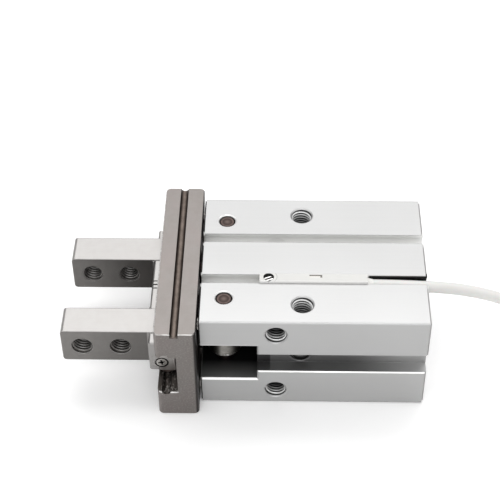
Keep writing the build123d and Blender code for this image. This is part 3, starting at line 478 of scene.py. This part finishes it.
def make_lever_steel():
    """Sintered levers with turned bosses, painted shade darkening them away from the boss and painted highlights at the
    foot.
    """
    m = Paint("lever_steel", Metallic=1.0)
    normal, worn = m.edges(0.1)
    x, y, z = m.axis("X"), m.axis("Y"), m.axis("Z")
    turned = m.noise(m.at(0.5, 0.5, 6.0), 4, 0.6)
    clouds = m.noise(m.at(1.2), 4, 0.6)
    tone = (0.36, 0.345, 0.32)
    color = m.mix(m.remap(turned, 0.35, 0.65, 0, 1), times(tone, 0.6), times(tone, 1.15))
    color = m.mix(m.remap(clouds, 0.35, 0.7, 0, 0.6), color, times(tone, 0.5))
    # painted shade, darker away from the boss
    painted_light_mask = m.remap(m.maths("ABSOLUTE", m.maths("ADD", x, 4.4)), 0.6, 3.2, 0.0, 0.93)
    color = m.mix(painted_light_mask, color, (0.03, 0.027, 0.024))
    # painted highlights: bright spots at the foot
    spots = m.noise(m.at(2.8), 2, 0.5)
    foot = m.maths("MULTIPLY", m.remap(z, 12.2, 12.5, 1, 0), m.remap(spots, 0.56, 0.62, 0, 1))
    color = m.mix(m.maths("MULTIPLY", foot, 0.8), color, (0.9, 0.89, 0.87))
    color = m.mix(m.maths("MULTIPLY", worn, 0.3), color, (0.5, 0.48, 0.45))
    return m.done(color, m.remap(turned, 0.3, 0.7, 0.32, 0.42), m.bump(turned, 0.02, normal))


def make_thread_alu():
    """Tapped threads in the body: bright flanks, roots painted dark as shade."""
    m = Paint("body_threads", Metallic=0.55)
    x, y, z = m.axis("X"), m.axis("Y"), m.axis("Z")
    cut = m.noise(m.at(5.0), 3, 0.6)
    color = m.mix(m.remap(cut, 0.3, 0.7, 0, 1), (0.86, 0.86, 0.855), (0.98, 0.98, 0.975))
    # painted shade at the thread roots
    for ca, cb, a, b in ((x, y, 13.77, 15.1), (x, y, 13.77, -15.1)):
        d = m.around(ca, cb, a, b)
        root = m.maths("MULTIPLY", m.remap(d, 2.26, 2.40, 0, 1), m.remap(d, 2.6, 2.7, 1, 0))
        color = m.mix(m.maths("MULTIPLY", root, 0.9), color, (0.04, 0.04, 0.04))
    for b in (23.2, 4.4):
        d = m.around(x, z, 7.7, b)
        root = m.maths("MULTIPLY", m.remap(d, 2.26, 2.40, 0, 1), m.remap(d, 2.6, 2.7, 1, 0))
        color = m.mix(m.maths("MULTIPLY", root, 0.9), color, (0.04, 0.04, 0.04))
    # painted shade, darker with depth
    top = m.maths("MULTIPLY", m.band(m.maths("ABSOLUTE", y), 12.0, 18.2, 0.05), m.remap(z, 24.4, 27.0, 0.75, 0.0))
    color = m.mix(m.maths("MULTIPLY", top, m.band(x, 10.8, 16.8, 0.05)), color, (0.02, 0.02, 0.02))
    deep = m.maths("MULTIPLY", m.remap(m.maths("ABSOLUTE", y), 18.0, 20.5, 0.93, 0.0), m.band(x, 4.6, 10.6, 0.05))
    color = m.mix(deep, color, (0.02, 0.02, 0.02))
    return m.done(color, m.remap(cut, 0.3, 0.7, 0.30, 0.4), m.bump(cut, 0.004))


BODY_TONE = (0.50, 0.50, 0.498)
GUIDE_TONE = (0.225, 0.210, 0.200)
GROOVE_TONE = (0.126, 0.102, 0.088)
FINGER_TONE = (0.37, 0.36, 0.352)
# painted shade: tone of the fingers' sides
FINGER_SIDE = (0.20, 0.192, 0.184)

mats = {
    "body_alu": make_body_alu(),
    "guide_steel": make_guide_steel(),
    "finger_steel": make_finger_steel(),
    "plate_steel": make_plate_steel(),
    "screw_steel": make_screw_steel(),
    "pin_steel": make_pin_steel(),
    "lever_steel": make_lever_steel(),
    "body_threads": make_thread_alu(),
    "cap_alu": steel("cap_alu", (0.60, 0.60, 0.595), 0.38, "X", 0.02, 0.02, 1.2, 0.8, 0.1),
    "ring_steel": steel("ring_steel", (0.08, 0.076, 0.072), 0.36, "X", 0.06, 0.06, 2.2, 0.7, 0.06),
}


def make_ball_steel():
    m = Paint("ball_steel", Metallic=1.0)
    film = m.noise(m.at(1.6), 3, 0.55)
    return m.done(
        m.mix(m.remap(film, 0.3, 0.7, 0, 1), (0.62, 0.60, 0.57), (0.72, 0.71, 0.70)),
        m.remap(film, 0.3, 0.7, 0.10, 0.2),
        m.bump(m.noise(m.at(8.0), 2, 0.5), 0.001),
    )


def rubber(name, tone, rough=0.55):
    m = Paint(name)
    normal, worn = m.edges(0.08)
    mould = m.noise(m.at(3.0), 4, 0.6)
    fine = m.noise(m.at(14.0), 3, 0.6)
    color = m.mix(m.remap(mould, 0.3, 0.7, 0, 1), times(tone, 0.8), times(tone, 1.25))
    color = m.mix(m.maths("MULTIPLY", worn, 0.5), color, times(tone, 1.7))
    return m.done(color, m.remap(mould, 0.3, 0.7, rough - 0.06, rough + 0.08), m.bump(fine, 0.006, normal))


def plastic(name, tone, rough=0.42, fine_depth=0.006, edge_light=1.04, warm=0.0, seam=None):
    m = Paint(name)
    normal, worn = m.edges(0.09)
    broad = m.noise(m.at(0.35), 3, 0.5)
    texture = m.noise(m.at(11.0), 3, 0.6)
    pits = m.cells(m.at(5.0))
    color = m.mix(m.remap(broad, 0.3, 0.7, 0, 1), times(tone, 0.975), times(tone, 1.015))
    color = m.mix(m.remap(texture, 0.3, 0.75, 0.0, 0.12), color, times((tone[0], tone[1] * (1 - warm), tone[2] * (1 - 2 * warm)), 0.85))
    color = m.mix(m.maths("MULTIPLY", worn, 0.4), color, tuple(min(0.97, c * edge_light) for c in tone))
    height = m.maths("ADD", texture, m.maths("MULTIPLY", pits, 0.4))
    if seam is not None:  # curved parting line round the screw's end of the case
        dx, dy = m.maths("SUBTRACT", m.axis("X"), seam[0]), m.maths("SUBTRACT", m.axis("Y"), seam[1])
        far = m.maths("SQRT", m.maths("ADD", m.maths("MULTIPLY", dx, dx), m.maths("MULTIPLY", dy, dy)))
        line = m.maths("MULTIPLY", m.band(far, seam[2] - 0.07, seam[2] + 0.07, 0.04), m.remap(dx, 1.2, 1.3, 0, 1))
        color = m.mix(m.maths("MULTIPLY", line, 0.6), color, times(tone, 0.35))
        height = m.maths("SUBTRACT", height, m.maths("MULTIPLY", line, 4.0))
        # painted shade on the top of the case, painted light on its sides
        up = m.maths("MULTIPLY", m.remap(m.facing("Z"), 0.8, 0.95, 0, 1), m.remap(m.axis("Z"), 28.0, 28.1, 0, 1))
        color = m.mix(m.maths("MULTIPLY", up, 0.14), color, (0.0, 0.0, 0.0))
        color = m.mix(m.remap(m.maths("ABSOLUTE", m.facing("Y")), 0.4, 0.9, 0, 0.85), color, (0.97, 0.965, 0.95))
        # painted shade in the well round the screw
        well = m.maths("MULTIPLY", m.remap(far, 1.30, 1.36, 1, 0), m.remap(m.axis("Z"), 28.22, 28.27, 1, 0))
        color = m.mix(m.maths("MULTIPLY", well, 0.97), color, (0.02, 0.02, 0.02))
    return m.done(color, m.remap(texture, 0.3, 0.7, rough - 0.05, rough + 0.06), m.bump(height, fine_depth, normal))


def make_lens():
    m = Paint("lens", Roughness=0.18)
    m.bsdf.inputs["Coat Weight"].default_value = 0.4
    m.bsdf.inputs["Coat Roughness"].default_value = 0.1
    x, y = m.axis("X"), m.axis("Y")
    cloud = m.noise(m.at(1.2), 3, 0.5)
    # painted shade in dark amber along the far edge and at the right end, where the recess walls shade the lens; cream
    # like the case in front of it
    dark = m.maths("MAXIMUM", m.remap(y, -6.60, -6.50, 0.0, 1.0), m.remap(x, 17.90, 18.0, 0.0, 1.0))
    color = m.mix(m.remap(cloud, 0.3, 0.7, 0.0, 1.0), (0.05, 0.040, 0.030), (0.10, 0.080, 0.060))
    color = m.mix(dark, (0.70, 0.685, 0.64), color)
    return m.done(color, None, m.bump(cloud, 0.004))


def make_gold():
    m = Paint("contact_gold", Metallic=1.0)
    normal, worn = m.edges(0.06)
    film = m.noise(m.at(2.0), 3, 0.55)
    color = m.mix(m.remap(film, 0.3, 0.7, 0, 1), (0.80, 0.56, 0.22), (0.92, 0.70, 0.34))
    return m.done(color, m.remap(film, 0.3, 0.7, 0.18, 0.3), m.bump(m.noise(m.at(9.0), 2, 0.5), 0.003, normal))


def make_nickel():
    m = Paint("nut_nickel", Metallic=1.0)
    normal, worn = m.edges(0.08)
    film = m.noise(m.at(0.9), 4, 0.6)
    fine = m.noise(m.at(10.0), 3, 0.6)
    color = m.mix(m.remap(film, 0.3, 0.7, 0, 1), (0.58, 0.55, 0.50), (0.68, 0.66, 0.61))
    color = m.mix(m.maths("MULTIPLY", worn, 0.5), color, (0.80, 0.78, 0.74))
    return m.done(color, m.remap(film, 0.3, 0.7, 0.22, 0.34), m.bump(fine, 0.004, normal))


def make_sheath():
    m = Paint("cable_sheath", Roughness=0.42)
    m.bsdf.inputs["Subsurface Weight"].default_value = 0.08
    m.bsdf.inputs["Subsurface Scale"].default_value = 0.002
    broad = m.noise(m.at(0.10), 3, 0.5)
    fine = m.noise(m.at(6.0), 4, 0.6)
    dirt = m.noise(m.at(0.55), 5, 0.65)
    color = m.mix(m.remap(broad, 0.3, 0.7, 0, 1), (0.69, 0.685, 0.665), (0.73, 0.725, 0.71))
    color = m.mix(m.remap(dirt, 0.58, 0.8, 0, 0.3), color, (0.62, 0.60, 0.57))
    return m.done(color, m.remap(fine, 0.3, 0.7, 0.38, 0.5), m.bump(fine, 0.008))


mats["ball_steel"] = make_ball_steel()
mats["seal_rubber"] = rubber("seal_rubber", (0.022, 0.022, 0.023))
mats["magnet_rubber"] = rubber("magnet_rubber", (0.06, 0.052, 0.045), 0.6)
mats["bumper_urethane"] = rubber("bumper_urethane", (0.50, 0.34, 0.12), 0.42)
mats["sensor_resin"] = plastic("sensor_resin", (0.775, 0.77, 0.745), 0.45, 0.004, 1.03, 0.01, (5.9, -6.95, 1.95))
mats["plug_resin"] = plastic("plug_resin", (0.028, 0.028, 0.030), 0.46, 0.012, 1.8)
mats["lens"] = make_lens()
mats["contact_gold"] = make_gold()
mats["nut_nickel"] = make_nickel()
mats["cable_sheath"] = make_sheath()

slots = {e["node"]: e["material_slot"] for e in frame["record"]["subparts"]}
for name, obj in nodes.items():
    obj.data.materials.clear()
    obj.data.materials.append(mats[slots[name]])


# ---------------------------------------------------------------- mesh tools
def piece(name, verts, faces, material, body, smooth=True):
    mesh = bpy.data.meshes.new(name)
    mesh.from_pydata([Vector(v) * MM for v in verts], [], faces)
    mesh.update()
    obj = bpy.data.objects.new(name, mesh)
    scene.collection.objects.link(obj)
    mesh.materials.append(mats[material])
    if smooth:
        mesh.polygons.foreach_set("use_smooth", [True] * len(mesh.polygons))
    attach(obj, body)
    return obj


def thread(mouth, out, depth, r_out=2.53, r_in=2.08, pitch=0.8, start=0.25, steps=40):
    """Vertices and faces of a right-handed internal thread's ridge, from the hole's mouth inwards. out points out of the hole."""
    z = Vector(out).normalized()
    x = z.orthogonal().normalized()
    y = z.cross(x)
    turns = (depth - start) / pitch
    count = int(turns * steps)
    verts, faces = [], []
    for i in range(count + 1):
        t = i / steps
        a = 2 * math.pi * t
        grow = min(1.0, t / 0.8, (turns - t) / 0.5 + 0.02)
        crest = r_out - (r_out - r_in) * max(grow, 0.02)
        deep = start + t * pitch
        for r, dz in ((r_out, -0.36), (crest, -0.06), (crest, 0.06), (r_out, 0.36)):
            d = x * (math.cos(-a) * r) + y * (math.sin(-a) * r) - z * (deep + dz * max(grow, 0.05))
            verts.append(Vector(mouth) + d)
    for i in range(count):
        for k in range(3):
            a, b = i * 4 + k, (i + 1) * 4 + k
            faces.append((a, b, b + 1, a + 1))
        a, b = i * 4, (i + 1) * 4
        faces.append((a + 3, b + 3, b, a))
    faces.append((0, 1, 2, 3))
    e = count * 4
    faces.append((e + 3, e + 2, e + 1, e))
    return verts, faces


def join(parts):
    verts, faces = [], []
    for v, f in parts:
        n = len(verts)
        verts += list(v)
        faces += [tuple(i + n for i in g) for g in f]
    return verts, faces


HT, ZC, BX = 27.6, 13.8, -10.0
MX, MY, SX, SZ = BX + 23.77, 15.1, BX + 17.7, 9.4
parts = []
for side in (1, -1):
    parts.append(thread((MX, side * MY, HT), (0, 0, 1), 8.0))
    parts.append(thread((MX + 0.8, side * MY, 0), (0, 0, -1), 8.0))
    for dz in (SZ, -SZ):
        parts.append(thread((SX + 0.4 + side * 0.4, side * 21.0, ZC + dz), (0, side, 0), 7.0))
    parts.append(thread((43.0, side * 14.8, ZC), (1, 0, 0), 6.5))
parts.append(thread((BX + 23.4, -17.8, ZC), (0, -1, 0), 4.2, start=0.8))
parts.append(thread((BX + 42.6, 17.8, ZC), (0, 1, 0), 4.2, start=0.8))
v, f = join(parts)
piece("body_threads", v, f, "body_threads", "frame")
for label, side in (("far", 1), ("near", -1)):
    parts = [thread((x, side * 16.15, ZC), (0, side, 0), 8.0, start=0.1) for x in (BX - 28.1, BX - 19.0)]
    v, f = join(parts)
    piece(f"finger_{label}_threads", v, f, "finger_steel", f"finger_{label}_body")


# ---------------------------------------------------------------- the sensor's lead
ROUTE = [
    (30.4, -6.95, 25.9),
    (44.0, -6.95, 25.75),
    (56.5, -6.95, 23.7),
    (67.5, -6.95, 18.6),
    (76.3, -6.95, 8.9),
    (83.8, -6.95, 2.6),
    (93.0, -6.95, 1.4),
]
COIL = (98.5, 10.6)
TAIL = [(104.0, -7.5, 6.5), (109.6, -9.2, 5.4), (115.0, -11.2, 5.0)]
PLACES = [(17.55, 1.36), (14.85, 1.36), (14.85, 4.06), (17.55, 4.06), (17.55, 6.76)]
MOVES = [0.70, 1.52, 2.34, 3.16]  # turns at which the lead starts to move to its next place
TURN_POINTS = 18


def coil_points():
    points = []
    for i in range(4 * TURN_POINTS + 1):
        t = i / TURN_POINTS
        r, z = PLACES[0]
        for k, begin in enumerate(MOVES):
            s = min(max((t - begin) / 0.18, 0.0), 1.0)
            s = s * s * (3 - 2 * s)
            r += (PLACES[k + 1][0] - PLACES[k][0]) * s
            z += (PLACES[k + 1][1] - PLACES[k][1]) * s
        r /= 0.75 + 0.25 * math.cos(2 * math.pi / TURN_POINTS)
        a = 2 * math.pi * t - math.pi / 2
        points.append((COIL[0] + r * math.cos(a), COIL[1] + r * math.sin(a), z))
    return points


line = bpy.data.curves.new("sensor_lead", "CURVE")
line.dimensions = "3D"
line.bevel_depth = 1.35 * MM
line.bevel_resolution = 6
line.resolution_u = 8
line.use_fill_caps = True
points = ROUTE + coil_points() + TAIL
spline = line.splines.new("NURBS")
spline.points.add(len(points) - 1)
for p, q in zip(spline.points, points):
    p.co = (q[0] * MM, q[1] * MM, q[2] * MM, 1.0)
spline.order_u = 3
spline.use_endpoint_u = True
lead = bpy.data.objects.new("sensor_lead", line)
scene.collection.objects.link(lead)
line.materials.append(mats["cable_sheath"])
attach(lead, "frame")
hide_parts("sensor_cable", "cable_coil", "cable_tail")

# ---------------------------------------------------------------- floor and light
floor_mesh = bpy.data.meshes.new("floor")
floor_mesh.from_pydata([(-4, -4, -0.00005), (4, -4, -0.00005), (4, 4, -0.00005), (-4, 4, -0.00005)], [], [(0, 1, 2, 3)])
floor = bpy.data.objects.new("floor", floor_mesh)
scene.collection.objects.link(floor)
ground = bpy.data.materials.new("floor")
ground.use_nodes = True
g = next(n for n in ground.node_tree.nodes if n.type == "BSDF_PRINCIPLED")
g.inputs["Base Color"].default_value = (0.95, 0.95, 0.95, 1)
g.inputs["Emission Color"].default_value = (1, 1, 1, 1)
g.inputs["Emission Strength"].default_value = 0.14
g.inputs["Roughness"].default_value = 0.9
g.inputs["Specular IOR Level"].default_value = 0.1
floor_mesh.materials.append(ground)

world = bpy.data.worlds.new("studio")
world.use_nodes = True
world.node_tree.nodes["Background"].inputs["Color"].default_value = (1, 1, 1, 1)
world.node_tree.nodes["Background"].inputs["Strength"].default_value = 0.5
scene.world = world


def softbox(name, at, aim, width, height, watts):
    data = bpy.data.lights.new(name, "AREA")
    data.shape = "RECTANGLE"
    data.size, data.size_y = width, height
    data.energy = watts
    obj = bpy.data.objects.new(name, data)
    scene.collection.objects.link(obj)
    obj.location = at
    obj.rotation_mode = "QUATERNION"
    obj.rotation_quaternion = (Vector(aim) - Vector(at)).to_track_quat("-Z", "Y")
    return obj


def beam(name, elevation, azimuth, distance, width, height, radiance):
    """A softbox seen from the gripper at that elevation and azimuth (0 is straight behind it), in degrees."""
    e, a = math.radians(elevation), math.radians(azimuth)
    at = Vector((math.sin(a) * math.cos(e), math.cos(a) * math.cos(e), math.sin(e))) * distance
    return softbox(name, at, (0, 0, 0.014), width, height, radiance * math.pi * width * height)


beam("back", 55, 0, 1.2, 1.3, 0.8, 2.2)
beam("front", 50, 180, 1.2, 1.1, 0.8, 1.6)
beam("left", 45, -90, 1.2, 0.9, 0.8, 1.1)
beam("right", 45, 90, 1.2, 0.9, 0.8, 1.1)
